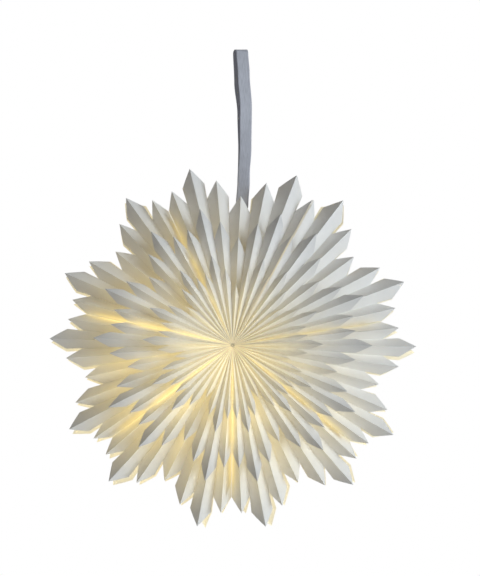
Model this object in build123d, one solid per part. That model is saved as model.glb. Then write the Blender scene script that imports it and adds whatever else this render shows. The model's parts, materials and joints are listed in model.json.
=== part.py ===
"""Paper snowflake star that opens round its axis like a fan and hangs from a ribbon.

Star coordinates: the star lies face up, its axis is Z, "up" on the hanging star is +Y, and
angles run clockwise from up as seen from the front. hang() turns the finished parts upright,
facing -Y, below the hanging point at the origin. Lengths are millimetres, angles degrees.
"""
import os
from collections import namedtuple
from math import cos, radians, sin, tan

from build123d import *

# ---- placing ---------------------------------------------------------------------------
DROP = 370.0              # hanging point down to the centre of the star
RIBBON_OFFSET = 11.2      # the ribbon hangs this far to the right of the centre

# ---- fan -------------------------------------------------------------------------------
LOBES = 14                # fans of pleated paper between the leaves
PITCH = 360.0 / LOBES     # one lobe of a perfectly even star
# Where each leaf stands in the open star, from the closing plane round to that plane again.
# A hand-glued star does not open quite evenly.
LEAF_ANGLES = (28.9, 53.7, 80.5, 104.8, 129.0, 154.4, 180.5, 206.8,
               233.0, 257.9, 282.6, 308.8, 334.7, 363.1, 388.9)
HANGING_LEAF = 13         # the leaf that carries the ribbon and the light

# ---- pleats ----------------------------------------------------------------------------
PLEAT_DEPTH = 0.085       # ridge above valley, per millimetre of radius
PAPER_RISE = 0.6          # paper measured along the axis; the facets are steep, so 0.35 mm sheet
PLEAT_CLEARANCE = 0.4     # pleat edge to the face of the leaf it is glued to

# Three rows of points. A row is a pleated cone: its ridges start at height apex on the axis,
# climb by ridge_slope per millimetre of radius, and end in points of three lengths.
Row = namedtuple("Row", "root apex ridge_slope point short_tip mid_tip long_tip")
OUTER = Row(4.0, 36.0, -0.066, 20.0, 185.0, 205.0, 225.0)
MIDDLE = Row(51.5, 22.0, 0.200, 20.0, 132.0, 151.0, 170.0)
INNER = Row(7.0, 33.0, 0.325, 16.0, 73.0, 92.0, 110.0)
ROWS = (OUTER, MIDDLE, INNER)

# Folds of one even lobe, from the leaf in the middle of a module to the leaf at its seam:
# (angle, fold, which point the ridge ends in)
MODULE_FOLDS = (
    (0.0, "ridge", "short_tip"),
    (4.3, "valley", None),
    (8.1, "ridge", "mid_tip"),
    (11.7, "valley", None),
    (15.2, "ridge", "long_tip"),
    (18.8, "valley", None),
    (22.3, "ridge", "mid_tip"),
    (PITCH, "valley", None),
)
# The lobes on either side of the covers end on a ridge that lies against the cover
CLOSING_FOLDS = (
    (0.0, "ridge", "short_tip"),
    (4.6, "valley", None),
    (8.7, "ridge", "mid_tip"),
    (12.9, "valley", None),
    (17.2, "ridge", "long_tip"),
    (21.6, "valley", None),
    (PITCH, "ridge", "mid_tip"),
)

# ---- leaves and covers -----------------------------------------------------------------
LEAF = 0.3                # card of the leaves
COVER = 0.6               # stiffer card of the two covers
COVER_GAP = 0.05          # each cover to the closing plane
EDGE_INSET = 0.3          # leaf edge below the ridge it carries
HUB_RADIUS = 14.0
CHAMBER_RADIUS = 48.0     # hollow round the light
CHAMBER_DEPTH = 26.0      # half its depth
CHAMBER_CORNER = 6.0
SLIT_INNER = 30.0         # radius where the slit under the inner row ends
SLIT_MIDDLE = 80.0
RIM_NOTCH = 150.0         # notch between front and back points
RIM_NOTCH_HALF = 9.0

# ---- binding rings, magnets ------------------------------------------------------------
RING_RADIUS = 19.0
RING_HEIGHT = 30.6
RING_WIRE = 0.6
RING_HOLE = 1.1
THROUGH = 10.0            # length of a cutter that only has to pass right through
MAGNET_RADIUS = 4.0
MAGNET_FIT = 0.05
MAGNET_SPOTS = ((62.0, 0.0), (120.0, 12.0), (120.0, -12.0))   # (radius, height)

# ---- ribbon ----------------------------------------------------------------------------
RIBBON_WIDTH = 15.0
RIBBON = 0.4
STRAND_OFFSET = 0.45      # middle of the loop to the middle of one strand
RIBBON_END = 126.0        # radius where the glued ends start
TWIST_START = 151.0
TWIST_END = 180.0
TWIST_STEPS = 6
BIGHT_RADIUS = 2.5        # inside of the bend that goes over the hook
BIGHT_FLARE = 14.0
RIVET_RADIUS_AT = 138.0
RIVET_SHANK = 1.5
RIVET_HEAD = 3.5
RIVET_HEAD_THICK = 0.5
RIVET_FIT = 0.1

# ---- light: housing (heights are above the middle plane) -------------------------------
BODY_RADIUS = 24.0
BODY_WALL = 2.0
BODY_REAR = -12.0
BODY_FRONT = 6.0
SHELF_BOTTOM = -3.0
SHELF_TOP = -1.0
RIB_ANGLES = (60.0, 150.0, 240.0, 330.0)
RIB_THICK = 1.2

# ---- light: battery well and its turning cover -----------------------------------------
WELL_RADIUS = 11.0
WELL_WALL = 2.0
GROOVE_RADIUS = 12.4
GROOVE_BOTTOM = -11.7
GROOVE_TOP = -10.4
LUG_SPOTS = (0.0, 180.0)
LUG_ANGLE = 35.0
ENTRY_SLACK = 4.0         # entry slots are this much wider than the lugs
ENTRY_TURN = 60.0         # cover turns this far from locked to the entry slots
COVER_RUN = 0.1           # cover to the rear rim it turns against
COVER_REAR = -14.0
PLUG_FIT = 0.3            # plug of the cover to the well
LUG_FIT = 0.15            # lug to the sides of its groove
LUG_END_FIT = 0.2
COIN_SLOT = (20.0, 2.4, 2.0)

# ---- light: cells, contact, board, screws, diffuser ------------------------------------
CELLS = 2
CELL_RADIUS = 10.0
CELL_THICK = 3.2
CELL_GAP = 0.05
CELL_STEP = (1.2, 0.4)    # the negative face is narrower by this and this high
CONTACT_SPACE = 0.85      # shelf to the first cell
CONTACT_LIFT = 0.05
CONTACT_WIDTH = 4.0
CONTACT_FOOT = (7.0, 0.2)     # half length and height of the foot
CONTACT_CREST = (3.0, 0.7)
RELIEF_FOOT = 5.0
RELIEF_CREST = (2.6, 0.45)
BOARD_RADIUS = 21.5
BOARD_THICK = 1.6
LED_COUNT = 6
LED_FIRST = 30.0
LED_RING = 12.0
LED_RADIUS = 1.8
LED_DOME = 1.6
LED_COLLAR = 1.0
SCREW_RING = 18.0
SCREW_SHANK = 1.0
SCREW_FIT = 0.1
SCREW_TIP = 0.2           # end of the screw above the back of the shelf
SCREW_HEAD = 1.9
SCREW_HEAD_TALL = 1.2
SCREW_SLOT = (2.6, 0.5, 1.0)
LENS_RADIUS = 21.8
LENS_WALL = 1.2
LENS_CROWN = 18.0

# ---- light: switch ---------------------------------------------------------------------
SLOT_WIDTH = 4.0
SLOT_REAR = -11.0
SLOT_FRONT = -4.0
SLOT_CUT = 8.0
SWITCH_HEIGHT = -9.2      # middle of the slider when it is off
PLATE = (8.0, 1.0, 5.0)
PLATE_RADIUS = 21.0
STUD = (3.6, 4.6, 3.0)
STUD_RADIUS = 23.3
THUMB_GROOVE = (4.0, 0.6, 0.8)

# ---- light: band and arm that hold it on the hanging leaf ------------------------------
BAND_INNER = 24.1
BAND_THICK = 1.2
BAND_LOW = -3.0
BAND_HIGH = 5.0
ARM_TALL = 5.0
ARM_END_GAP = 0.5         # arm to the edge of the leaf
TINE_INNER = 0.2          # tine to the middle of the leaf
TINE_THICK = 0.5
TINE_ROOT = 2.0           # length buried in the arm
TINE_END = 54.0


# ---- helpers ---------------------------------------------------------------------------
def on_star(angle, radius, height):
    """Point at a clockwise angle, radius and height above the middle plane."""
    return Vector(radius * sin(radians(angle)), radius * cos(radians(angle)), height)


def turn(shape, angle):
    """Turn a shape clockwise about the axis of the star."""
    return Rot(0, 0, -angle) * shape


def hang(shape):
    """Star coordinates to the hanging object."""
    return Pos(-RIBBON_OFFSET, 0, -DROP) * Rot(90, 0, 0) * shape


def ridge_height(row, radius):
    return row.apex + row.ridge_slope * radius


def valley_height(row, radius):
    return ridge_height(row, radius) - PLEAT_DEPTH * radius


def disc(radius, low, high):
    """Cylinder on the axis between two heights."""
    return Pos(0, 0, low) * Cylinder(radius, high - low, align=(Align.CENTER, Align.CENTER, Align.MIN))


def tube(outer, inner, low, high):
    return disc(outer, low, high) - disc(inner, low, high)


# ---- pleated paper ---------------------------------------------------------------------
def facet(row, ridge_angle, valley_angle, tip):
    """Flat strip between a ridge and the valley beside it."""
    shoulder = tip - row.point
    corners = (
        on_star(ridge_angle, row.root, ridge_height(row, row.root)),
        on_star(ridge_angle, tip, ridge_height(row, tip)),
        on_star(valley_angle, shoulder, valley_height(row, shoulder)),
        on_star(valley_angle, row.root, valley_height(row, row.root)),
    )
    sheet = make_face(Polyline(*corners, close=True))
    return extrude(sheet, amount=PAPER_RISE, dir=(0, 0, -1))


def row_facets(row, folds):
    """All facets of one row in one lobe."""
    strips = []
    for first, second in zip(folds, folds[1:]):
        ridge, valley = (first, second) if first[1] == "ridge" else (second, first)
        strips.append(facet(row, ridge[0], valley[0], getattr(row, ridge[2])))
    return strips


def beside_leaf(angle, half_gap):
    """Slab that keeps the pleats off the leaf at one edge of the lobe."""
    reach = 2 * OUTER.long_tip
    slab = Box(2 * half_gap, reach, reach, align=(Align.CENTER, Align.MIN, Align.CENTER))
    return turn(slab, angle)


def pleated_lobe(folds, span, far_gap):
    """Front paper of one lobe, clockwise from the leaf in the middle of its module."""
    opened = [(angle * span / PITCH, fold, tip) for angle, fold, tip in folds]
    strips = [strip for row in ROWS for strip in row_facets(row, opened)]
    sheet = strips[0].fuse(*strips[1:])
    near_gap = LEAF / 2 + PLEAT_CLEARANCE
    return Part() + sheet - beside_leaf(0, near_gap) - beside_leaf(span, far_gap)


def front_paper(lobe):
    """Front paper of a lobe, counted clockwise from the closing plane."""
    before, after = LEAF_ANGLES[lobe - 1], LEAF_ANGLES[lobe]
    if lobe in (1, LOBES):
        paper = pleated_lobe(CLOSING_FOLDS, after - before, COVER_GAP + COVER + PLEAT_CLEARANCE)
    else:
        paper = pleated_lobe(MODULE_FOLDS, after - before, LEAF / 2 + PLEAT_CLEARANCE)
    module_is_after = lobe % 2 == 1
    if module_is_after:
        return turn(mirror(paper, about=Plane.YZ), after)
    return turn(paper, before)


# ---- leaves ----------------------------------------------------------------------------
def prong(row, tip):
    """Edge of a leaf along one point: up the ridge to the tip, then down to its shoulder."""
    shoulder = tip - row.point
    return [(tip, ridge_height(row, tip) - EDGE_INSET), (shoulder, valley_height(row, shoulder))]


def leaf_outline(tip_name):
    """Half outline of a leaf as (radius, height), from the hub to the rim."""
    outline = [(HUB_RADIUS - 1, ridge_height(INNER, HUB_RADIUS - 1) - EDGE_INSET)]
    outline += prong(INNER, getattr(INNER, tip_name))
    outline.append((SLIT_INNER, valley_height(INNER, SLIT_INNER)))
    outline.append((SLIT_INNER, ridge_height(OUTER, SLIT_INNER) - EDGE_INSET))
    outline.append((MIDDLE.root, ridge_height(OUTER, MIDDLE.root) - EDGE_INSET))
    outline += prong(MIDDLE, getattr(MIDDLE, tip_name))
    outline.append((SLIT_MIDDLE, valley_height(MIDDLE, SLIT_MIDDLE)))
    outline.append((SLIT_MIDDLE, ridge_height(OUTER, SLIT_MIDDLE) - EDGE_INSET))
    outline += prong(OUTER, getattr(OUTER, tip_name))
    outline.append((RIM_NOTCH, RIM_NOTCH_HALF))
    return outline


def chamber_outline():
    """Half outline of the hollow round the light, from its wall to the hub."""
    return [
        (CHAMBER_RADIUS, CHAMBER_DEPTH - CHAMBER_CORNER),
        (CHAMBER_RADIUS - CHAMBER_CORNER, CHAMBER_DEPTH),
        (HUB_RADIUS - 1, CHAMBER_DEPTH),
    ]


def leaf_blank(tip_name, low, high):
    """Leaf pointing up, its card between two distances from the plane X = 0."""
    front = leaf_outline(tip_name)
    back = [(radius, -height) for radius, height in reversed(front)]
    hollow_back = [(radius, -height) for radius, height in reversed(chamber_outline())]
    points = front + back + hollow_back + chamber_outline()
    sheet = make_face(Polyline(*[(low, r, h) for r, h in points], close=True))
    leaf = extrude(sheet, amount=high - low, dir=(1, 0, 0))
    leaf -= disc(HUB_RADIUS, -OUTER.long_tip, OUTER.long_tip)
    for side in (1, -1):
        leaf -= Pos(0, RING_RADIUS, side * RING_HEIGHT) * Rot(0, 90, 0) * Cylinder(RING_HOLE, THROUGH)
    return leaf


def plain_leaf():
    return leaf_blank("short_tip", -LEAF / 2, LEAF / 2)


def hanging_leaf():
    """The leaf with the rivet hole for the ribbon."""
    hole = Pos(0, RIVET_RADIUS_AT, 0) * Rot(0, 90, 0) * Cylinder(RIVET_SHANK + RIVET_FIT, THROUGH)
    return plain_leaf() - hole


def magnet_discs(low, high, radius):
    """Discs at the magnet spots of a cover pointing up."""
    discs = []
    for spot_radius, spot_height in MAGNET_SPOTS:
        place = Pos((low + high) / 2, spot_radius, spot_height)
        discs.append(place * Rot(0, 90, 0) * Cylinder(radius, high - low))
    return discs


def cover_span(side):
    """Where the card of a cover lies beside the closing plane; side is 1 clockwise."""
    near, far = COVER_GAP, COVER_GAP + COVER
    return (near, far) if side > 0 else (-far, -near)


def closing_cover(side):
    low, high = cover_span(side)
    cover = leaf_blank("mid_tip", low, high)
    for pocket in magnet_discs(low, high, MAGNET_RADIUS + MAGNET_FIT):
        cover -= pocket
    return cover


def cover_magnets(side):
    low, high = cover_span(side)
    return Compound(children=magnet_discs(low, high, MAGNET_RADIUS))


def binding_ring(side):
    """Wire ring through every leaf; the leaves turn on it."""
    return Pos(0, 0, side * RING_HEIGHT) * Torus(RING_RADIUS, RING_WIRE)


# ---- ribbon ----------------------------------------------------------------------------
def ribbon_section(radius, across, twist, side):
    """Cross-section of one strand; twist 0 lies on the leaf, 90 faces the front."""
    width_way = Vector(sin(radians(twist)), 0, cos(radians(twist)))
    normal_way = Vector(cos(radians(twist)), 0, -sin(radians(twist)))
    middle = Vector(across, radius, 0) + normal_way * (side * STRAND_OFFSET)
    plane = Plane(origin=middle, x_dir=width_way, z_dir=(0, 1, 0))
    return plane * Rectangle(RIBBON_WIDTH, RIBBON)


def twisted_end(side):
    """Lower end of one strand: flat on the leaf, then a quarter turn to face the front."""
    lean = tan(radians(LEAF_ANGLES[HANGING_LEAF]))
    sections = [ribbon_section(RIBBON_END, RIBBON_END * lean, 0, side)]
    for step in range(TWIST_STEPS + 1):
        part = step / TWIST_STEPS
        radius = TWIST_START + part * (TWIST_END - TWIST_START)
        across = (1 - part) * TWIST_START * lean + part * RIBBON_OFFSET
        sections.append(ribbon_section(radius, across, 90 * part, side))
    return loft(sections, ruled=True)


def bight_profile(inset):
    """Side view of the upper loop as (height along the drop, distance to the front)."""
    half = STRAND_OFFSET + RIBBON / 2 - inset
    bend = BIGHT_RADIUS + RIBBON - inset
    centre = DROP - BIGHT_RADIUS
    neck = centre - BIGHT_FLARE
    up = Polyline((0, TWIST_END, half), (0, neck, half), (0, centre, bend))
    over = ThreePointArc((0, centre, bend), (0, centre + bend, 0), (0, centre, -bend))
    down = Polyline((0, centre, -bend), (0, neck, -half), (0, TWIST_END, -half))
    foot = Line((0, TWIST_END, -half), (0, TWIST_END, half))
    return make_face(Wire([*up.edges(), *over.edges(), *down.edges(), *foot.edges()]))


def ribbon_loop():
    band = extrude(bight_profile(0) - bight_profile(RIBBON), amount=RIBBON_WIDTH / 2, both=True)
    loop = Pos(RIBBON_OFFSET, 0, 0) * band
    rivet_hole = turn(rivet_shank(RIVET_SHANK + RIVET_FIT), LEAF_ANGLES[HANGING_LEAF])
    return loop + twisted_end(1) + twisted_end(-1) - rivet_hole


def rivet_shank(radius):
    length = 2 * (STRAND_OFFSET + RIBBON / 2 + RIVET_FIT)
    return Pos(0, RIVET_RADIUS_AT, 0) * Rot(0, 90, 0) * Cylinder(radius, length)


def ribbon_rivet():
    """Rivet through both ends of the ribbon and the leaf."""
    rivet = rivet_shank(RIVET_SHANK)
    head_middle = STRAND_OFFSET + RIBBON / 2 + RIVET_FIT + RIVET_HEAD_THICK / 2
    for side in (1, -1):
        spot = Pos(side * head_middle, RIVET_RADIUS_AT, 0)
        rivet += spot * Rot(0, 90, 0) * Cylinder(RIVET_HEAD, RIVET_HEAD_THICK)
    return rivet


# ---- light -----------------------------------------------------------------------------
def lug(radius, low, high, angle, spread):
    """Sector of a ring outside the battery well, centred on an angle."""
    wedge = Box(4 * radius * tan(radians(spread / 2)), 2 * radius, 2 * (high - low),
                align=(Align.CENTER, Align.MIN, Align.CENTER))
    return tube(radius, WELL_RADIUS - 1, low, high) & turn(Pos(0, 0, (low + high) / 2) * wedge, angle)


def light_body():
    """Round housing: shelf for the board in front, battery well behind."""
    inner = BODY_RADIUS - BODY_WALL
    well_outer = WELL_RADIUS + WELL_WALL
    body = tube(BODY_RADIUS, inner, BODY_REAR, BODY_FRONT)
    body += disc(inner, SHELF_BOTTOM, SHELF_TOP)
    body += tube(well_outer, WELL_RADIUS, BODY_REAR, SHELF_BOTTOM)
    rib = Box(RIB_THICK, inner - well_outer + WELL_WALL, SHELF_BOTTOM - BODY_REAR)
    rib_place = Pos(0, (inner + well_outer - WELL_WALL / 2) / 2, (SHELF_BOTTOM + BODY_REAR) / 2)
    for angle in RIB_ANGLES:
        body += turn(rib_place * rib, angle)
    body -= tube(GROOVE_RADIUS, WELL_RADIUS - 1, GROOVE_BOTTOM, GROOVE_TOP)
    for angle in LUG_SPOTS:
        body -= lug(GROOVE_RADIUS, BODY_REAR, GROOVE_TOP, angle + ENTRY_TURN, LUG_ANGLE + ENTRY_SLACK)
    slot = Box(SLOT_WIDTH, SLOT_CUT, SLOT_FRONT - SLOT_REAR)
    body -= Pos(0, -BODY_RADIUS, (SLOT_REAR + SLOT_FRONT) / 2) * slot
    for side in (1, -1):
        body -= Pos(side * SCREW_RING, 0, 0) * disc(SCREW_SHANK, SHELF_BOTTOM, SHELF_TOP)
    return body


def battery_cover():
    """Turning lid with two lugs and a coin slot."""
    rim = BODY_REAR - COVER_RUN
    lug_radius = GROOVE_RADIUS - LUG_END_FIT
    cover = disc(BODY_RADIUS, COVER_REAR, rim)
    cover += disc(WELL_RADIUS - PLUG_FIT, rim, GROOVE_TOP - LUG_FIT)
    for angle in LUG_SPOTS:
        cover += lug(lug_radius, GROOVE_BOTTOM + LUG_FIT, GROOVE_TOP - LUG_FIT, angle, LUG_ANGLE)
    return cover - Pos(0, 0, COVER_REAR) * Box(*COIN_SLOT)


def coin_cells():
    """Stack of cells, narrower face to the contact."""
    narrower, step = CELL_STEP
    cells = []
    for index in range(CELLS):
        high = SHELF_BOTTOM - CONTACT_SPACE - index * (CELL_THICK + CELL_GAP)
        can = disc(CELL_RADIUS, high - CELL_THICK, high - step)
        cells.append(can + disc(CELL_RADIUS - narrower, high - step, high))
    return Compound(children=cells)


def contact_spring():
    """Arched strip between the shelf and the first cell."""
    top = SHELF_BOTTOM - CONTACT_LIFT
    foot, foot_low = CONTACT_FOOT[0], top - CONTACT_FOOT[1]
    crest, crest_low = CONTACT_CREST[0], top - CONTACT_CREST[1]
    relief, relief_low = RELIEF_CREST[0], top - RELIEF_CREST[1]
    arch = Polyline((-foot, 0, top), (foot, 0, top), (foot, 0, foot_low), (crest, 0, crest_low),
                    (-crest, 0, crest_low), (-foot, 0, foot_low), close=True)
    hollow = Polyline((-RELIEF_FOOT, 0, top), (RELIEF_FOOT, 0, top), (relief, 0, relief_low),
                      (-relief, 0, relief_low), close=True)
    return extrude(make_face(arch) - make_face(hollow), amount=CONTACT_WIDTH / 2, both=True)


def led_board():
    board = disc(BOARD_RADIUS, SHELF_TOP, SHELF_TOP + BOARD_THICK)
    for side in (1, -1):
        hole = disc(SCREW_SHANK + SCREW_FIT, SHELF_TOP, SHELF_TOP + BOARD_THICK)
        board -= Pos(side * SCREW_RING, 0, 0) * hole
    return board


def led_beads():
    seat = SHELF_TOP + BOARD_THICK
    collar_top = seat + LED_COLLAR
    bead = disc(LED_RADIUS, seat, collar_top) + Pos(0, 0, collar_top) * Sphere(LED_DOME)
    bead &= disc(LED_RADIUS, seat, collar_top + LED_DOME)
    beads = []
    for index in range(LED_COUNT):
        beads.append(turn(Pos(0, LED_RING, 0) * bead, LED_FIRST + index * 360 / LED_COUNT))
    return Compound(children=beads)


def board_screws():
    seat = SHELF_TOP + BOARD_THICK
    head_top = seat + SCREW_HEAD_TALL
    screw = disc(SCREW_SHANK, SHELF_BOTTOM + SCREW_TIP, seat) + disc(SCREW_HEAD, seat, head_top)
    screw -= Pos(0, 0, head_top) * Box(*SCREW_SLOT)
    return Compound(children=[Pos(side * SCREW_RING, 0, 0) * screw for side in (1, -1)])


def lens_solid(inset, seat):
    """Rim and dome of the diffuser, or its hollow when inset by the wall."""
    low = (LENS_CROWN ** 2 - BODY_FRONT ** 2 - LENS_RADIUS ** 2) / (2 * (LENS_CROWN - BODY_FRONT))
    dome = Pos(0, 0, low) * Sphere(LENS_CROWN - low - inset)
    return disc(LENS_RADIUS - inset, seat, LENS_CROWN) & dome


def light_lens():
    """Domed diffuser with a rim that sits inside the housing."""
    seat = SHELF_TOP + BOARD_THICK
    return lens_solid(0, seat) - lens_solid(LENS_WALL, seat)


def switch_slider():
    """Flat plate inside the wall with a thumb stud through the slot."""
    plate = Pos(0, -PLATE_RADIUS, SWITCH_HEIGHT) * Box(*PLATE)
    stud = Pos(0, -STUD_RADIUS, SWITCH_HEIGHT) * Box(*STUD)
    stud_end = STUD_RADIUS + STUD[1] / 2
    return plate + stud - Pos(0, -stud_end, SWITCH_HEIGHT) * Box(*THUMB_GROOVE)


def light_hanger():
    """Band round the housing with an arm that grips the hanging leaf."""
    middle = (BAND_LOW + BAND_HIGH) / 2
    arm_start = BAND_INNER + BAND_THICK / 2
    arm_end = CHAMBER_RADIUS - ARM_END_GAP
    arm = Box(2 * (TINE_INNER + TINE_THICK), arm_end - arm_start, ARM_TALL)
    hanger = tube(BAND_INNER + BAND_THICK, BAND_INNER, BAND_LOW, BAND_HIGH)
    hanger += Pos(0, (arm_start + arm_end) / 2, middle) * arm
    tine = Box(TINE_THICK, TINE_END - arm_end + TINE_ROOT, ARM_TALL)
    for side in (1, -1):
        across = side * (TINE_INNER + TINE_THICK / 2)
        hanger += Pos(across, (TINE_END + arm_end - TINE_ROOT) / 2, middle) * tine
    return hanger


# ---- the whole star --------------------------------------------------------------------
def paper_nodes():
    nodes = {}
    for lobe in range(1, LOBES + 1):
        front = front_paper(lobe)
        nodes[f"front_pleats_{lobe:02d}"] = front
        nodes[f"back_pleats_{lobe:02d}"] = mirror(front, about=Plane.XY)
    return nodes


def leaf_nodes():
    closing_plane = LEAF_ANGLES[0]
    nodes = {
        "right_cover": turn(closing_cover(1), closing_plane),
        "left_cover": turn(closing_cover(-1), closing_plane),
        "right_magnets": turn(cover_magnets(1), closing_plane),
        "left_magnets": turn(cover_magnets(-1), closing_plane),
        "hanging_leaf": turn(hanging_leaf(), LEAF_ANGLES[HANGING_LEAF]),
        "front_binding_ring": binding_ring(1),
        "back_binding_ring": binding_ring(-1),
    }
    leaf = plain_leaf()
    for index in range(1, HANGING_LEAF):
        nodes[f"leaf_{index:02d}"] = turn(leaf, LEAF_ANGLES[index])
    return nodes


def hanger_nodes():
    return {
        "ribbon_loop": ribbon_loop(),
        "ribbon_rivet": turn(ribbon_rivet(), LEAF_ANGLES[HANGING_LEAF]),
    }


def light_nodes():
    return {
        "light_body": light_body(),
        "light_lens": light_lens(),
        "led_board": led_board(),
        "led_beads": led_beads(),
        "board_screws": board_screws(),
        "coin_cells": coin_cells(),
        "contact_spring": contact_spring(),
        "battery_cover": battery_cover(),
        "switch_slider": switch_slider(),
        "light_hanger": turn(light_hanger(), LEAF_ANGLES[HANGING_LEAF]),
    }


def main():
    os.makedirs("parts", exist_ok=True)
    nodes = {**paper_nodes(), **leaf_nodes(), **hanger_nodes(), **light_nodes()}
    for name, shape in nodes.items():
        export_step(hang(shape), f"parts/{name}.step")
        print(name, len(shape.solids()))


main()
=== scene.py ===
"""Looks of the paper snowflake star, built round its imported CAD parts. Metres, +Z up, front to -Y."""

import json
import math
from collections import namedtuple

import bpy
import numpy as np
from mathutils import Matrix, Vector


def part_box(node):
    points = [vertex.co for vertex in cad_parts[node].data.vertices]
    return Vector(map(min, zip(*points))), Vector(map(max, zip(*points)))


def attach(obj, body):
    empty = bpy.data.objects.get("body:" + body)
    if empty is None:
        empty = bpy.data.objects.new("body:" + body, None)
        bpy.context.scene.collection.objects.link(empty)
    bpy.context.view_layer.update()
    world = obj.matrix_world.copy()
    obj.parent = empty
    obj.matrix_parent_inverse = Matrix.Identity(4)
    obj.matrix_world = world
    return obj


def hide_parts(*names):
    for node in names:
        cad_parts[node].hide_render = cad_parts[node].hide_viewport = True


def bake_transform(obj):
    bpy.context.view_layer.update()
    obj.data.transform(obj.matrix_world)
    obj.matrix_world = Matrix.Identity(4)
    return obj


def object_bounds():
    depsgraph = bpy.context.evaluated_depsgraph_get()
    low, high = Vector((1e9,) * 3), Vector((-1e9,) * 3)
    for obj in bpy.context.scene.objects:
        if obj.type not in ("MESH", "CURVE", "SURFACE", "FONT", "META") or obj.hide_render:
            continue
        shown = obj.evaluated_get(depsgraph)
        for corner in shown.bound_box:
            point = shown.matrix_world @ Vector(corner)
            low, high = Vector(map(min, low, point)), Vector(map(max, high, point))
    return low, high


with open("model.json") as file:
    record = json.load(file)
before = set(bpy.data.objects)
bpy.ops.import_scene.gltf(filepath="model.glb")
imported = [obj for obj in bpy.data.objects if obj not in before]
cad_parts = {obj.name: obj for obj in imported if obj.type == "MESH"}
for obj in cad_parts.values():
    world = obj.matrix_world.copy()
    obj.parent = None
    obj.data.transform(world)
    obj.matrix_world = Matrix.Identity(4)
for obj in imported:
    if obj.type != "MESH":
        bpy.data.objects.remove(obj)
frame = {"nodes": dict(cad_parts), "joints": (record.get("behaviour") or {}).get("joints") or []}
cad_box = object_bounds()

MM = 0.001

# ---- the star, as the CAD has it -------------------------------------------------------
# Angles run clockwise from the top, seen from the front. Lobe n lies between leaf n - 1 and
# leaf n, and the first and the last angle are the closing plane.
LOBES = 14
PITCH = 360.0 / LOBES
LEAF_ANGLES = (28.9, 53.7, 80.5, 104.8, 129.0, 154.4, 180.5, 206.8,
               233.0, 257.9, 282.6, 308.8, 334.7, 363.1, 388.9)
HANGING_LEAF = 13
AXIS_JOINT = next(j for j in frame["joints"] if j["name"] == "leaf_12_fold")
CENTRE = np.array(AXIS_JOINT["pos_m"], float)

# ---- three rows of points --------------------------------------------------------------
# Lamp light in the paper of a row: full up to one radius and gone by another, its strength
# on the side that gets most, the share of that on the other side, and the clockwise angle
# of the side that gets most
Glow = namedtuple("Glow", "full gone strength least side")
# Where a row starts, the height of its ridges at the axis and how fast that changes with the
# radius, the length of its slanted points, the radii of its three kinds of tip, its lamp
# light, and how much painted shade darkens its tips; all lengths in mm
Row = namedtuple("Row", "root apex ridge_slope point short_tip mid_tip long_tip glow tip_shade")
OUTER = Row(9.0, 36.0, -0.066, 20.0, 185.0, 205.0, 225.0, Glow(136.0, 224.0, 1.50, 0.03, 225.0), 0.0)
MIDDLE = Row(51.5, 22.0, 0.200, 20.0, 132.0, 151.0, 170.0, Glow(90.0, 160.0, 1.50, 0.16, 220.0), 0.22)
INNER = Row(0.4, 33.0, 0.325, 16.0, 73.0, 92.0, 110.0, Glow(30.0, 124.0, 2.15, 0.68, 205.0), 0.22)
ROWS = (OUTER, MIDDLE, INNER)

# Folds of a lobe from the leaf in the middle of its module to the far seam: angle, kind, tip
MODULE_FOLDS = (
    (0.0, "ridge", "short_tip"),
    (4.3, "valley", None),
    (8.1, "ridge", "mid_tip"),
    (11.7, "valley", None),
    (15.2, "ridge", "long_tip"),
    (18.8, "valley", None),
    (22.3, "ridge", "mid_tip"),
    (PITCH, "valley", None),
)
# The same for the two lobes at the closing seam, which share one split point
CLOSING_FOLDS = (
    (0.0, "ridge", "short_tip"),
    (4.6, "valley", None),
    (8.7, "ridge", "mid_tip"),
    (12.9, "valley", None),
    (17.2, "ridge", "long_tip"),
    (21.6, "valley", None),
    (PITCH, "ridge", "mid_tip"),
)
PLEAT_DEPTH = 0.085       # drop from a ridge to a valley, share of the radius
SHEET = 0.5               # paper along the axis, mm
ACROSS = 4                # strips across a facet
RADIAL_STEP = 9.0         # about this far between stations along a facet, mm

# How far the far edge of a lobe stays off the leaf there, and over how many mm of radius
# that gap opens
Gap = namedtuple("Gap", "width rise")
SEAM_GAP = Gap(0.4, 40.0)
CLOSING_GAP = Gap(1.05, 1.5)
GAP_START = 12.0          # radius where the gaps begin, mm
GAP_SHARE = 1 / 6         # share of the lobe that is drawn in for it

# ---- how unevenly the paper is folded --------------------------------------------------
BOW = 0.0036              # how far a facet bows out, share of its width
BOW_SPREAD = 0.006
FRONT_WANDER = 0.25       # how far a free fold wanders at the rim, degrees
BACK_WANDER = 1.1
BACK_LEAN = 1.5           # how far the lowest back points lean to the right, degrees
BACK_LEAN_AT = 195.0      # clockwise angle of the points that lean most
CROWD = 1.4               # how unevenly the folds crowd together at the hub, degrees
CROWD_REACH = 55.0        # radius where they have spread out evenly, mm
LIFT = 1.3                # how far a free tip lifts or drops, mm

# ---- lamp light and shadow in the paper ------------------------------------------------
GLOW_COLOR = (1.0, 0.78, 0.34)
# colour of the painted lamp light on the inner face of the paper
INSIDE_GLOW_COLOR = (1.0, 0.91, 0.64)
GLOW_STRENGTH = 0.24
GLOW_CLOUD = 0.15         # how much the cloudiness of the paper varies it
GLOW_FADE = 1.3           # power of its fading towards the rim
LIT_SIDE_GLOW = 0.7       # share of the lamp light that shows on facets facing the key light
FACING = (0.1, 0.8)       # a facet faces the key light from the first cosine, fully at the second
VALLEY_SHADE = 0.4        # painted shade: the painted lamp light is made weaker towards the bottom of each fold
FOLD_SHADE = 0.45         # how unevenly neighbouring folds let light through
SEAM_GLOW = 0.8           # the seams between the modules let more through
SEAM_SHARE = 0.05         # width of that, share of a lobe
SEAM_LIGHT = Glow(150.0, 215.0, 1.2, 0.30, 225.0)
INSIDE_GLOW = 0.5         # the inner face of the paper, which the lamp lights directly
INSIDE_LEAST = 0.7
RIM_GLOW = 1.5            # daylight through the back points, seen past the front ones
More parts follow.
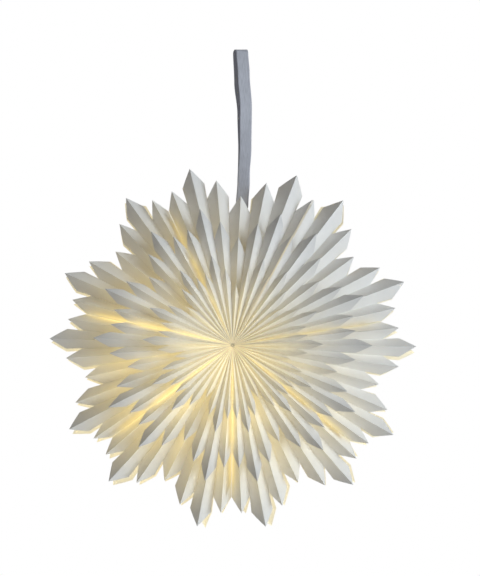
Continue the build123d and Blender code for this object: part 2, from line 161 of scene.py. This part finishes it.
RIM_START = 150.0         # from this radius, mm
RIM_FULL = 185.0
HUB_SHADE = 3.5           # painted shade where the folds crowd together inside this radius, mm how dark that painted shade goes
HUB_DARK = 0.85           # how dark they go
HUB_DIM = 0.8             # how much of the lamp light is lost there
CREASE_SHADE = 0.6        # painted shade: how much darker the bottom of a fold is close to the hub
CREASE_REACH = 78.0       # radius where that has faded, mm
TIP_REACH = 38.0          # the painted shade on the tips begins this far from their ends, mm
LEAF_GLOW = Glow(150.0, 235.0, 1.6, 0.45, 232.0)

# ---- ribbon, mm ------------------------------------------------------------------------
RIBBON_WIDTH = 15.0
RIBBON_THICK = 0.34
RIBBON_LEAF = 126.0       # radius of the glued ends
RIBBON_TWIST = (151.0, 178.0)
RIBBON_STEP = 2.0
RIBBON_CLEAR = 0.4        # top of the bend below the top of the CAD loop
RIBBON_LANES = 13
BEND_RADIUS = 2.7
BEND_STEPS = 12
CUP = 0.25                # how far the ribbon cups across its width
CUP_WAVE = 0.045          # how fast that changes from row to row
# How a strand hangs at a height above the centre of the star: its sway to the right, its
# turn in degrees, and its distance from the middle of the loop
Hang = namedtuple("Hang", "height sway turn half")
FRONT_STRAND = (Hang(178, 0.2, -8, 0.45), Hang(205, 2.2, -12, 2.0), Hang(246, 4.6, -5, 2.6),
                Hang(298, 4.6, 6, 3.0), Hang(340, 2.0, 3, 2.8), Hang(367, 0.4, 0, 2.7))
BACK_STRAND = (Hang(178, 0.6, -8, 0.45), Hang(205, 2.2, -3, 1.8), Hang(246, 3.2, 5, 2.4),
               Hang(290, 1.6, -6, 2.8), Hang(330, -2.2, -4, 2.8), Hang(367, -3.4, 0, 2.7))

# ---- light, floor, camera --------------------------------------------------------------
StudioLight = namedtuple("StudioLight", "name place size power color")
KEY = StudioLight("key", (1.02, -0.70, -0.28), 0.6, 4.8, (0.84, 0.93, 1.0))
FILL = StudioLight("fill", (1.25, -1.35, -0.30), 1.0, 11.0, (0.92, 0.97, 1.0))
REAR = StudioLight("rear", (-0.6, 2.6, 0.5), 2.0, 18.0, (1.0, 0.99, 0.95))
LAMP_COUNT = 7            # small warm lights that stand for the lit hollow of the star
LAMP_RING = 37.0          # radius of the ring they stand on, mm
LAMP_SIZE = 7.0
LAMP_POWER = 0.03
LAMP_COLOR = (1.0, 0.76, 0.36)
SKY_COLOR = (0.98, 0.98, 1.0)
SKY_LIGHT = 0.175

FLOOR_DROP = 0.55         # floor below the star, m
FLOOR_RADIUS = 12.0
FLOOR_SIDES = 48
FLOOR_FADE = (1.5, 7.0)   # the floor goes from pale to white between these distances, m
FLOOR_NEAR, FLOOR_FAR = 0.40, 0.90

CAMERA_DISTANCE = 4.0
CAMERA_RISE = -4.7        # degrees above the horizon
FIELD_HEIGHT = 0.704      # metres seen from top to bottom at the star
HUB_FRONT = 0.036         # front of the hub, ahead of the centre, m
AIM_RIGHT = 0.0089        # picture centre to the right of the hub
AIM_UP = 0.0697           # and above it


# ---- shader building blocks ------------------------------------------------------------
def new_material(name):
    material = bpy.data.materials.new(name)
    material.use_nodes = True
    tree = material.node_tree
    tree.nodes.clear()
    return material, tree


def finish_material(tree, shader):
    end = tree.nodes.new("ShaderNodeOutputMaterial")
    tree.links.new(shader.outputs[0], end.inputs["Surface"])


def add(tree, kind, **inputs):
    node = tree.nodes.new(kind)
    for key, value in inputs.items():
        node.inputs[key.replace("_", " ")].default_value = value
    return node


def attribute(tree, name):
    node = tree.nodes.new("ShaderNodeAttribute")
    node.attribute_name = name
    return node.outputs["Fac"]


def maths(tree, operation, *values):
    """Result of a maths node on numbers or sockets."""
    node = tree.nodes.new("ShaderNodeMath")
    node.operation = operation
    for value, socket in zip(values, node.inputs):
        if isinstance(value, bpy.types.NodeSocket):
            tree.links.new(value, socket)
        else:
            socket.default_value = value
    return node.outputs[0]


def map_range(tree, value, low, high, start=0.0, end=1.0):
    """Number between low and high as value goes from start to end."""
    node = add(tree, "ShaderNodeMapRange", From_Min=start, From_Max=end, To_Min=low, To_Max=high)
    tree.links.new(value, node.inputs["Value"])
    return node.outputs["Result"]


def noise(tree, scale, detail=4.0, stretch=(1, 1, 1)):
    """Noise in object space, scale in features per metre."""
    where = tree.nodes.new("ShaderNodeTexCoord")
    mapping = add(tree, "ShaderNodeMapping", Scale=stretch)
    grain = add(tree, "ShaderNodeTexNoise", Scale=scale, Detail=detail)
    tree.links.new(where.outputs["Object"], mapping.inputs["Vector"])
    tree.links.new(mapping.outputs["Vector"], grain.inputs["Vector"])
    return grain.outputs["Fac"]


def ramp(tree, value, low, high, start=0.3, end=0.7):
    """Colour between low and high as value goes from start to end."""
    node = tree.nodes.new("ShaderNodeValToRGB")
    node.color_ramp.elements[0].position = start
    node.color_ramp.elements[1].position = end
    node.color_ramp.elements[0].color = (*low, 1)
    node.color_ramp.elements[1].color = (*high, 1)
    tree.links.new(value, node.inputs["Fac"])
    return node.outputs["Color"]


def multiply_colors(tree, first, second):
    mixed = tree.nodes.new("ShaderNodeMix")
    mixed.data_type = "RGBA"
    mixed.blend_type = "MULTIPLY"
    mixed.inputs["Factor"].default_value = 1.0
    tree.links.new(first, mixed.inputs["A"])
    tree.links.new(second, mixed.inputs["B"])
    return mixed.outputs["Result"]


def bump(tree, value, strength, distance):
    node = add(tree, "ShaderNodeBump", Strength=strength, Distance=distance)
    tree.links.new(value, node.inputs["Height"])
    return node.outputs["Normal"]


def set_values(mesh, name, values):
    """Stores one number per point for a shader to read."""
    values = np.asarray(values, np.float32)
    mesh.attributes.new(name, "FLOAT", "POINT").data.foreach_set("value", values)


# ---- materials -------------------------------------------------------------------------
def lamp_contrast(tree):
    """Facets turned to the key light show less of the lamp than those turned away."""
    facing = tree.nodes.new("ShaderNodeVectorMath")
    facing.operation = "DOT_PRODUCT"
    facing.inputs[1].default_value = Vector(KEY.place).normalized()
    geometry = tree.nodes.new("ShaderNodeNewGeometry")
    tree.links.new(geometry.outputs["True Normal"], facing.inputs[0])
    return map_range(tree, facing.outputs["Value"], 1.0, LIT_SIDE_GLOW, *FACING)


def paper_material(name, shade, through, glow_color=GLOW_COLOR):
    """Uncoated paper, through being the share of light that passes the sheet.

    The glow attribute says how much painted lamp light the paper gives off, which also paints its colour
    warmer, and the shadow attribute how much painted shade darkens it.
    """
    material, tree = new_material(name)
    shown = maths(tree, "MULTIPLY", attribute(tree, "glow"), lamp_contrast(tree))
    # painted light: the paper's colour is painted warmer wherever painted lamp light shows, standing in for
    # warm lamp light within the paper
    warm = (shade[0], shade[1] * 0.97, shade[2] * 0.84)
    lamp_tinted_color = ramp(tree, shown, shade, warm, 0.0, 1.0)
    cloud = ramp(tree, noise(tree, 38.0, 3.0), (0.972, 0.972, 0.972), (1, 1, 1))
    light = maths(tree, "SUBTRACT", 1.0, attribute(tree, "shadow"))
    color = multiply_colors(tree, multiply_colors(tree, lamp_tinted_color, cloud), light)
    normal = bump(tree, noise(tree, 2600.0, 6.0), 0.12, 0.00004)
    body = add(tree, "ShaderNodeBsdfPrincipled", Roughness=0.82, Specular_IOR_Level=0.18,
               Sheen_Weight=0.05, Emission_Color=(*glow_color, 1))
    cloudy = map_range(tree, noise(tree, 90.0, 4.0),
                       GLOW_STRENGTH * (1 - GLOW_CLOUD), GLOW_STRENGTH * (1 + GLOW_CLOUD))
    tree.links.new(color, body.inputs["Base Color"])
    tree.links.new(normal, body.inputs["Normal"])
    tree.links.new(maths(tree, "MULTIPLY", shown, cloudy), body.inputs["Emission Strength"])
    back = add(tree, "ShaderNodeBsdfTranslucent", Color=(0.97, 0.96, 0.94, 1))
    tree.links.new(normal, back.inputs["Normal"])
    sheet = add(tree, "ShaderNodeMixShader", Fac=through)
    tree.links.new(body.outputs[0], sheet.inputs[1])
    tree.links.new(back.outputs[0], sheet.inputs[2])
    finish_material(tree, sheet)
    return material


def solid_material(name, low, high, roughness=(0.4, 0.6), metallic=0.0, grain=300.0, glow=None):
    """Plastic or metal with mottled colour, uneven roughness and a fine bump.

    glow is the colour and strength of the light it gives off.
    """
    material, tree = new_material(name)
    fine = noise(tree, grain, 5.0)
    broad = noise(tree, 60.0, 2.0)
    body = add(tree, "ShaderNodeBsdfPrincipled", Metallic=metallic)
    tree.links.new(ramp(tree, broad, low, high), body.inputs["Base Color"])
    tree.links.new(map_range(tree, fine, *roughness), body.inputs["Roughness"])
    tree.links.new(bump(tree, fine, 0.3, 0.00005), body.inputs["Normal"])
    if glow:
        body.inputs["Emission Color"].default_value = (*glow[:3], 1)
        body.inputs["Emission Strength"].default_value = glow[3]
    finish_material(tree, body)
    return material


def ribbon_material():
    """Satin: fine lengthwise floats, colour darker towards both edges, soft sheen."""
    material, tree = new_material("satin_ribbon")
    threads = noise(tree, 900.0, 3.0, (2.2, 2.2, 0.12))
    ribs = noise(tree, 1500.0, 2.0, (0.15, 0.15, 2.0))
    edge = maths(tree, "ABSOLUTE", attribute(tree, "across"))
    band = ramp(tree, edge, (0.68, 0.70, 0.78), (0.47, 0.49, 0.56), 0.78, 1.0)
    fleck = ramp(tree, threads, (0.72, 0.72, 0.72), (1.0, 1.0, 1.0))
    body = add(tree, "ShaderNodeBsdfPrincipled", Roughness=0.42, Sheen_Weight=0.35, Anisotropic=0.5)
    weave = maths(tree, "ADD", threads, ribs)
    tree.links.new(multiply_colors(tree, band, fleck), body.inputs["Base Color"])
    tree.links.new(bump(tree, weave, 0.35, 0.00015), body.inputs["Normal"])
    finish_material(tree, body)
    return material


def floor_material():
    """Pale floor, seen brighter than the light it throws back at the star."""
    material = solid_material("pale_floor", (0.86, 0.86, 0.86), (0.88, 0.88, 0.88), (0.7, 0.8), 0.0, 40.0)
    tree = material.node_tree
    body = next(node for node in tree.nodes if node.type == "BSDF_PRINCIPLED")
    body.inputs["Emission Color"].default_value = (1, 1, 1, 1)
    where = tree.nodes.new("ShaderNodeTexCoord")
    away = tree.nodes.new("ShaderNodeVectorMath")
    away.operation = "LENGTH"
    tree.links.new(where.outputs["Object"], away.inputs[0])
    fade = map_range(tree, away.outputs["Value"], FLOOR_NEAR, FLOOR_FAR, *FLOOR_FADE)
    path = tree.nodes.new("ShaderNodeLightPath")
    seen = maths(tree, "MULTIPLY", path.outputs["Is Camera Ray"], fade)
    tree.links.new(seen, body.inputs["Emission Strength"])
    return material


# ---- lamp light and shadow, for points in mm about the centre --------------------------
def radius_of(points):
    return np.hypot(points[:, 0], points[:, 2])


def lamp_side(points, least, side):
    """1 on the side of the star that gets most lamp light, down to least on the other."""
    angle = np.arctan2(points[:, 0], points[:, 2]) - math.radians(side)
    return least + (1 - least) * (0.5 + 0.5 * np.cos(angle))


def glow_through(points, glow):
    """Lamp light that passes a sheet."""
    radius = radius_of(points)
    fade = np.clip((glow.gone - radius) / (glow.gone - glow.full), 0, 1)
    hub = 1 - HUB_DIM * np.clip(1 - radius / HUB_SHADE, 0, 1)
    return glow.strength * hub * fade ** GLOW_FADE * lamp_side(points, glow.least, glow.side)


def glow_inside(points, side):
    """Light on the inner face of a sheet; side is 1 for the front of the star."""
    light = INSIDE_GLOW
    if side < 0:
        light += RIM_GLOW * np.clip((radius_of(points) - RIM_START) / (RIM_FULL - RIM_START), 0, 1)
    return light * lamp_side(points, INSIDE_LEAST, OUTER.glow.side)


def fold_shadow(points, depth, near_tip, tip_shade):
    """Painted shade in the folds, where they crowd at the hub, and on the tips.

    depth goes from 0 on a ridge to 1 in a valley, near_tip from 0 to 1 at the end of a point.
    """
    radius = radius_of(points)
    crowded = HUB_DARK * np.clip(1 - radius / HUB_SHADE, 0, 1)
    crease = CREASE_SHADE * depth * np.clip(1 - radius / CREASE_REACH, 0, 1)
    return np.maximum(np.maximum(crowded, crease), tip_shade * near_tip)


# ---- pleated paper ---------------------------------------------------------------------
def ridge_height(row, radius):
    return row.apex + row.ridge_slope * radius


def valley_height(row, radius):
    return ridge_height(row, radius) - PLEAT_DEPTH * radius


def star_point(angle, radius, height):
    """Clockwise angle, radius and height above the middle plane, in mm about the centre."""
    a = math.radians(angle)
    return np.array([radius * math.sin(a), -height, radius * math.cos(a)])


class Fold:
    """One fold line of a lobe, with its own small wander away from the ideal line."""

    def __init__(self, row, angle, kind, free, wander, lean, random):
        self.row = row
        self.angle = angle
        self.height = ridge_height if kind == "ridge" else valley_height
        self.turn = free * (lean + random.uniform(-wander, wander))
        self.lift = free * random.uniform(-LIFT, LIFT)
        self.crowd = free * random.uniform(-CROWD, CROWD)
        self.shade = 1 + random.uniform(-FOLD_SHADE, FOLD_SHADE)

    def at(self, radius):
        """Angle and height of the fold at a radius."""
        out = (radius - self.row.root) / (self.row.long_tip - self.row.root)
        crowd = self.crowd * max(0.0, 1 - radius / CROWD_REACH)
        angle = self.angle + crowd + self.turn * out ** 2
        return angle, self.height(self.row, radius) + self.lift * out ** 2


class Sheet:
    """Collects the points of one folded row; points on shared folds are made once."""

    def __init__(self):
        self.points, self.angles, self.looks = [], [], []
        self.faces, self.known = [], {}

    def point(self, key, angle, radius, height, look):
        """Number of a point; look is its shade, its depth in the fold and its nearness to a tip."""
        if key not in self.known:
            self.known[key] = len(self.points)
            self.points.append(star_point(angle, radius, height))
            self.angles.append(angle)
            self.looks.append(look)
        return self.known[key]


def radial_stations(row):
    """Radii shared by every facet of a row: even steps broken at the shoulders."""
    stations = [row.root]
    if row.root < HUB_SHADE:
        stations += [HUB_SHADE, HUB_SHADE * 3]
    start = stations[-1]
    for shoulder in (row.short_tip - row.point, row.mid_tip - row.point, row.long_tip - row.point):
        count = max(1, round((shoulder - start) / RADIAL_STEP))
        stations += [start + (shoulder - start) * (i + 1) / count for i in range(count)]
        start = shoulder
    return stations


def add_facet(sheet, row, number, ridge, valley, tip, bow):
    """Grid between a ridge and a valley, ending in a slanted edge from tip to shoulder."""
    shoulder = tip - row.point
    stations = [r for r in radial_stations(row) if r <= shoulder + 1e-6]
    radii = stations + [shoulder + row.point * (i + 1) / ACROSS for i in range(ACROSS)]

    def vertex(step, line):
        """Point of the grid; line goes from 0 on the ridge to ACROSS on the valley."""
        radius, share = radii[step], line / ACROSS
        ridge_angle, ridge_top = ridge.at(radius)
        valley_angle, valley_top = valley.at(radius)
        turn = valley_angle - ridge_angle
        hump = 4 * share * (1 - share)
        width = math.radians(abs(turn)) * radius
        height = ridge_top + (valley_top - ridge_top) * share + bow * width * hump
        chord = 1 - (1 - math.cos(math.radians(turn) / 2)) * hump
        # painted shade: the lamp light is painted weaker from the ridge towards the valley
        shade = ridge.shade + (valley.shade * (1 - VALLEY_SHADE) - ridge.shade) * share
        near_tip = max(0.0, 1 - (tip - radius) / TIP_REACH)
        owner = {0: id(ridge), ACROSS: id(valley)}.get(line, (number, line))
        return sheet.point((owner, round(radius, 4)), ridge_angle + turn * share, radius * chord,
                           height, (shade, share, near_tip))

    last = len(stations) - 1
    for step in range(last + ACROSS):
        cut = max(0, step - last + 1)
        full = ACROSS - cut
        for line in range(full):
            sheet.faces.append((vertex(step, line), vertex(step + 1, line),
                                vertex(step + 1, line + 1), vertex(step, line + 1)))
        if cut:
            sheet.faces.append((vertex(step, full), vertex(step + 1, full), vertex(step, full + 1)))


def draw_in(points, share, span, gap):
    """Draws the far edge of a lobe in so that it clears the leaf there."""
    a = math.radians(span)
    inward = np.array([-math.cos(a), 0, math.sin(a)]) * gap.width
    opened = np.clip((radius_of(points) - GAP_START) / gap.rise, 0, 1)
    near_edge = np.clip((share - 1 + GAP_SHARE) / GAP_SHARE, 0, 1)
    return points + (near_edge * opened)[:, None] * inward


def thicken(points, faces):
    """Closed sheet: a second layer behind the first, and its rim."""
    count = len(points)
    behind = points + np.array([0, SHEET, 0])
    edges = {}
    for face in faces:
        for edge in zip(face, face[1:] + face[:1]):
            edges[edge] = True
    inner = [tuple(i + count for i in reversed(face)) for face in faces]
    rim = [(b, a, a + count, b + count) for a, b in edges if (b, a) not in edges]
    return np.vstack([points, behind]), list(faces), inner, rim


def turn_about_axis(points, angle):
    a = math.radians(angle)
    c, s = math.cos(a), math.sin(a)
    x, z = points[:, 0].copy(), points[:, 2].copy()
    return np.column_stack([x * c + z * s, points[:, 1], z * c - x * s])


def facing_front(faces, points):
    """Winds each face of an open sheet so that its normal points to the front."""
    wound = []
    for face in faces:
        a, b, c = (points[i] for i in face[:3])
        normal = np.cross(b - a, c - a)
        wound.append(tuple(face) if normal[1] < 0 else tuple(reversed(face)))
    return wound


# Points in mm about the centre, faces, material slots, and for each point its share of the
# angle between the two leaves, its lamp light and its shadow
Paper = namedtuple("Paper", "points faces slots share glow shadow")


class Lobe:
    """One lobe on one face of the star; side is 1 for the front and -1 for the back."""

    def __init__(self, number, side):
        self.side = side
        self.before, self.after = LEAF_ANGLES[number - 1], LEAF_ANGLES[number]
        self.closing = number in (1, LOBES)
        self.mirrored = number % 2 == 1
        self.folds = CLOSING_FOLDS if self.closing else MODULE_FOLDS
        self.gap = CLOSING_GAP if self.closing else SEAM_GAP
        self.random = np.random.default_rng(1000 * number + (side > 0))
        self.wander = FRONT_WANDER if side > 0 else BACK_WANDER
        self.lean = 0.0 if side > 0 else self.back_lean()

    def back_lean(self):
        """Lean of the back folds: most at the lowest points, the other way in mirrored lobes."""
        middle = (self.before + self.after) / 2
        low = max(0.0, math.cos(math.radians(middle - BACK_LEAN_AT)))
        return BACK_LEAN * low * (1 if self.mirrored else -1)

    def folded_sheet(self, row):
        """Open sheet of one row, clockwise from the leaf in the middle of its module."""
        span = self.after - self.before
        sheet = Sheet()
        lines = []
        for angle, kind, _ in self.folds:
            free = angle not in (0.0, PITCH)
            lines.append(Fold(row, angle * span / PITCH, kind, free, self.wander, self.lean, self.random))
        for number in range(len(lines) - 1):
            ridge, valley = number, number + 1
            if self.folds[ridge][1] == "valley":
                ridge, valley = valley, ridge
            tip = getattr(row, self.folds[ridge][2])
            bow = BOW + self.random.uniform(-1, 1) * BOW_SPREAD
            add_facet(sheet, row, number, lines[ridge], lines[valley], tip, bow)
        share = np.array(sheet.angles) / span
        points = draw_in(np.array(sheet.points), share, span, self.gap)
        return points, share, np.array(sheet.looks).T, sheet.faces

    def row_paper(self, row):
        """One row as a closed sheet in its place on the front of the star."""
        points, spot, (shade, depth, near_tip), faces = self.folded_sheet(row)
        count = len(points)
        shadow = fold_shadow(points, depth, near_tip, row.tip_shade)
        points, outer, inner, rim = thicken(points, facing_front(faces, points))
        share = np.concatenate([spot, spot])
        if self.mirrored:
            points[:, 0] *= -1
            share = 1 - share
        points = turn_about_axis(points, self.after if self.mirrored else self.before)
        through = shade * glow_through(points[:count], row.glow)
        if not self.closing:
            seam = np.clip(1 - (1 - spot) / SEAM_SHARE, 0, 1)
            through += seam * (SEAM_GLOW * through + glow_through(points[:count], SEAM_LIGHT))
        glow = np.concatenate([through, glow_inside(points[count:], self.side)])
        slots = [0] * len(outer) + [1] * len(inner) + [0] * len(rim)
        return Paper(points, outer + inner + rim, slots, share, glow, np.append(shadow, np.zeros(count)))

    def paper(self):
        """All three rows, on the right face of the star."""
        rows = [self.row_paper(row) for row in ROWS]
        flipped = self.mirrored != (self.side < 0)
        faces, slots, base = [], [], 0
        for row in rows:
            for face in row.faces:
                wound = reversed(face) if flipped else face
                faces.append(tuple(i + base for i in wound))
            slots += row.slots
            base += len(row.points)
        points = np.vstack([row.points for row in rows])
        points[:, 1] *= self.side
        return Paper(points, faces, slots,
                     np.concatenate([row.share for row in rows]),
                     np.concatenate([row.glow for row in rows]),
                     np.concatenate([row.shadow for row in rows]))


def fold_with_leaves(sheet):
    """Bakes the placement of the sheet into its points."""
    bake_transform(sheet)


def new_object(name, points, faces, materials):
    """Object from points in mm about the centre."""
    mesh = bpy.data.meshes.new(name)
    mesh.from_pydata((points * MM + CENTRE).tolist(), [], faces)
    for material in materials:
        mesh.materials.append(material)
    thing = bpy.data.objects.new(name, mesh)
    bpy.context.collection.objects.link(thing)
    return thing


def make_lobe(number, side, papers):
    face = "front" if side > 0 else "back"
    paper = Lobe(number, side).paper()
    sheet = new_object(f"paper_{face}_{number:02d}", paper.points, paper.faces, papers)
    sheet.data.polygons.foreach_set("material_index", paper.slots)
    set_values(sheet.data, "glow", paper.glow)
    set_values(sheet.data, "shadow", paper.shadow)
    sheet.data.update()
    fold_with_leaves(sheet)
    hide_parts(f"{face}_pleats_{number:02d}")


def make_star():
    papers = (
        paper_material("pleated_paper", (0.93, 0.93, 0.93), 0.16),
        paper_material("pleated_paper_inside", (0.93, 0.92, 0.90), 0.35, INSIDE_GLOW_COLOR),
    )
    for number in range(1, LOBES + 1):
        make_lobe(number, 1, papers)
        make_lobe(number, -1, papers)


# ---- ribbon ----------------------------------------------------------------------------
def ease(part):
    """Smooth step from 0 to 1."""
    part = min(max(part, 0), 1)
    return part * part * (3 - 2 * part)


def hang_at(table, height):
    """How a strand hangs at a height, eased between the rows of its table."""
    for low, high in zip(table, table[1:]):
        if height <= high.height:
            part = ease((height - low.height) / (high.height - low.height))
            return Hang(*(a + (b - a) * part for a, b in zip(low, high)))
    return table[-1]


def strand(table, side, top, hook_x):
    """Middle of one strand from the leaf up to the bend: rows of (point, width direction, normal)."""
    lean = math.tan(math.radians(LEAF_ANGLES[HANGING_LEAF] - 360))
    rows = []
    for height in np.arange(RIBBON_LEAF, top + 0.1, RIBBON_STEP):
        free = ease((height - RIBBON_TWIST[0]) / (RIBBON_TWIST[1] - RIBBON_TWIST[0]))
        hang = hang_at(table, height)
        x = height * lean * (1 - free) + (hook_x + hang.sway) * free
        turn = math.radians((90 + hang.turn) * free)
        width = np.array([math.sin(turn), -math.cos(turn), 0])
        normal = np.array([math.cos(turn), math.sin(turn), 0])
        middle = np.array([x, 0.0, height]) - side * hang.half * normal
        rows.append((middle, width, normal))
    return rows


def bend(top, hook_x):
    """Rows round the top of the loop, from the front strand to the back one."""
    first, last = FRONT_STRAND[-1].sway, BACK_STRAND[-1].sway
    rows = []
    for step in range(1, BEND_STEPS):
        a = math.pi * step / BEND_STEPS
        sway = first + (last - first) * step / BEND_STEPS
        out = np.array([0, -math.cos(a), math.sin(a)])
        middle = np.array([hook_x + sway, 0, top]) + out * BEND_RADIUS
        rows.append((middle, np.array([1.0, 0, 0]), -out))
    return rows


def ribbon_path():
    """Middle of the doubled ribbon from one glued end over the hook to the other."""
    hook = (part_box("ribbon_loop")[1][2] - CENTRE[2]) / MM
    hook_x = -CENTRE[0] / MM
    top = hook - RIBBON_CLEAR - BEND_RADIUS
    front = strand(FRONT_STRAND, 1, top, hook_x)
    back = strand(BACK_STRAND, -1, top, hook_x)
    return front + bend(top, hook_x) + [(m, w, -n) for m, w, n in reversed(back)]


def ribbon_ring():
    """Section of the ribbon: (share of the half width, face), round both faces."""
    lanes = [lane / (RIBBON_LANES - 1) * 2 - 1 for lane in range(RIBBON_LANES)]
    return [(share, 1) for share in lanes] + [(share, -1) for share in reversed(lanes)]


def make_ribbon():
    path, ring = ribbon_path(), ribbon_ring()
    count = len(ring)
    points, faces, across = [], [], []
    for index, (middle, width, normal) in enumerate(path):
        cup = CUP * math.sin(index * CUP_WAVE)
        for share, face in ring:
            thin = RIBBON_THICK / 2 * (1 - 0.5 * abs(share) ** 8)
            ripple = cup * (share ** 2 - 0.4)
            points.append(middle + width * share * RIBBON_WIDTH / 2 + normal * (face * thin + ripple))
            across.append(share)
    for i in range(len(path) - 1):
        for j in range(count):
            a, b = i * count + j, i * count + (j + 1) % count
            faces.append((a, b, b + count, a + count))
    faces.append(tuple(reversed(range(count))))
    faces.append(tuple((len(path) - 1) * count + j for j in range(count)))
    ribbon = new_object("satin_ribbon", np.array(points), faces, [ribbon_material()])
    set_values(ribbon.data, "across", across)
    ribbon.data.polygons.foreach_set("use_smooth", [True] * len(faces))
    ribbon.data.update()
    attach(ribbon, "hanging_leaf")
    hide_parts("ribbon_loop")


# ---- carried-over CAD parts ------------------------------------------------------------
def dress(nodes, material):
    for node in nodes:
        mesh = frame["nodes"][node].data
        mesh.materials.clear()
        mesh.materials.append(material)


def dress_leaves():
    """Leaves and covers, which the lamp lights through as it does the papers."""
    leaves = ["hanging_leaf"] + [f"leaf_{i:02d}" for i in range(1, HANGING_LEAF)]
    covers = ["left_cover", "right_cover"]
    dress(leaves, paper_material("leaf_paper", (0.92, 0.91, 0.88), 0.35))
    dress(covers, paper_material("cover_card", (0.92, 0.91, 0.88), 0.22))
    for node in leaves + covers:
        mesh = frame["nodes"][node].data
        points = (np.array([v.co for v in mesh.vertices]) - CENTRE) / MM
        set_values(mesh, "glow", glow_through(points, LEAF_GLOW))


def dress_metal_parts():
    dress(["left_magnets", "right_magnets", "coin_cells", "ribbon_rivet"],
          solid_material("nickel", (0.58, 0.57, 0.54), (0.70, 0.69, 0.66), (0.12, 0.3), 1.0, 700.0))
    dress(["front_binding_ring", "back_binding_ring", "board_screws"],
          solid_material("zinc_steel", (0.48, 0.48, 0.50), (0.62, 0.62, 0.64), (0.22, 0.42), 1.0, 900.0))
    dress(["contact_spring"],
          solid_material("contact", (0.62, 0.47, 0.20), (0.74, 0.58, 0.28), (0.18, 0.35), 1.0, 800.0))


def dress_lamp():
    dress(["light_body", "battery_cover", "light_hanger"],
          solid_material("moulded_white", (0.80, 0.79, 0.76), (0.86, 0.85, 0.83), (0.38, 0.55), 0.0, 1400.0))
    dress(["switch_slider"],
          solid_material("moulded_grey", (0.05, 0.05, 0.055), (0.08, 0.08, 0.085), (0.4, 0.6), 0.0, 1400.0))
    dress(["light_lens"],
          solid_material("diffuser", (0.93, 0.88, 0.78), (0.97, 0.93, 0.85), (0.3, 0.45), 0.0, 900.0,
                         glow=(1.0, 0.80, 0.50, 0.7)))
    dress(["led_board"],
          solid_material("board", (0.74, 0.75, 0.70), (0.80, 0.81, 0.77), (0.3, 0.45), 0.0, 500.0))
    dress(["led_beads"],
          solid_material("led", (0.95, 0.75, 0.30), (1.0, 0.83, 0.40), (0.2, 0.35), 0.0, 900.0,
                         glow=(1.0, 0.76, 0.42, 3.0)))


# ---- light, floor, camera --------------------------------------------------------------
def aim(thing, target):
    direction = Vector(target) - thing.location
    thing.rotation_mode = "QUATERNION"
    thing.rotation_quaternion = direction.to_track_quat("-Z", "Y")


def studio_light(light):
    data = bpy.data.lights.new(light.name, "AREA")
    data.shape = "DISK"
    data.size = light.size
    data.energy = light.power
    data.color = light.color
    lamp = bpy.data.objects.new(light.name, data)
    bpy.context.collection.objects.link(lamp)
    lamp.location = light.place
    aim(lamp, CENTRE)


def glow_light(name, offset):
    """Small warm light inside the star, offset in mm from its centre."""
    data = bpy.data.lights.new(name, "POINT")
    data.energy = LAMP_POWER
    data.color = LAMP_COLOR
    data.shadow_soft_size = LAMP_SIZE * MM
    lamp = bpy.data.objects.new(name, data)
    bpy.context.collection.objects.link(lamp)
    lamp.location = CENTRE + offset * MM


def make_lights():
    for light in (KEY, FILL, REAR):
        studio_light(light)
    for index in range(LAMP_COUNT):
        glow_light(f"glow_{index}", star_point(LEAF_ANGLES[2 * index] + PITCH / 2, LAMP_RING, 0))


def make_world():
    """White to the camera, a softer white to everything it lights."""
    world = bpy.data.worlds.new("studio")
    bpy.context.scene.world = world
    world.use_nodes = True
    tree = world.node_tree
    tree.nodes.clear()
    seen = add(tree, "ShaderNodeBackground", Color=(1, 1, 1, 1), Strength=1.0)
    lit = add(tree, "ShaderNodeBackground", Color=(*SKY_COLOR, 1), Strength=SKY_LIGHT)
    path = tree.nodes.new("ShaderNodeLightPath")
    mixed = tree.nodes.new("ShaderNodeMixShader")
    tree.links.new(path.outputs["Is Camera Ray"], mixed.inputs[0])
    tree.links.new(lit.outputs[0], mixed.inputs[1])
    tree.links.new(seen.outputs[0], mixed.inputs[2])
    end = tree.nodes.new("ShaderNodeOutputWorld")
    tree.links.new(mixed.outputs[0], end.inputs["Surface"])


def make_floor():
    """Pale round floor well below the hanging star."""
    height = cad_box[0][2] - FLOOR_DROP
    ring = []
    for side in range(FLOOR_SIDES):
        a = 2 * math.pi * side / FLOOR_SIDES
        ring.append((FLOOR_RADIUS * math.cos(a), FLOOR_RADIUS * math.sin(a), height))
    mesh = bpy.data.meshes.new("floor")
    mesh.from_pydata(ring, [], [tuple(range(FLOOR_SIDES))])
    mesh.materials.append(floor_material())
    floor = bpy.data.objects.new("floor", mesh)
    bpy.context.collection.objects.link(floor)


def make_camera():
    rise = math.radians(CAMERA_RISE)
    back = Vector((0, -math.cos(rise), math.sin(rise)))
    up = Vector((0, math.sin(rise), math.cos(rise)))
    target = Vector(CENTRE) + Vector((AIM_RIGHT, -HUB_FRONT, 0)) + up * AIM_UP
    data = bpy.data.cameras.new("camera")
    data.sensor_width = 36
    data.lens = data.sensor_width * CAMERA_DISTANCE / FIELD_HEIGHT
    camera = bpy.data.objects.new("camera", data)
    bpy.context.collection.objects.link(camera)
    camera.location = target + back * CAMERA_DISTANCE
    aim(camera, target)
    bpy.context.scene.camera = camera


# ---- build -----------------------------------------------------------------------------
def main():
    make_star()
    make_ribbon()
    dress_leaves()
    dress_metal_parts()
    dress_lamp()
    make_world()
    make_floor()
    make_lights()
    make_camera()
    bpy.context.scene.view_settings.view_transform = "Standard"


main()
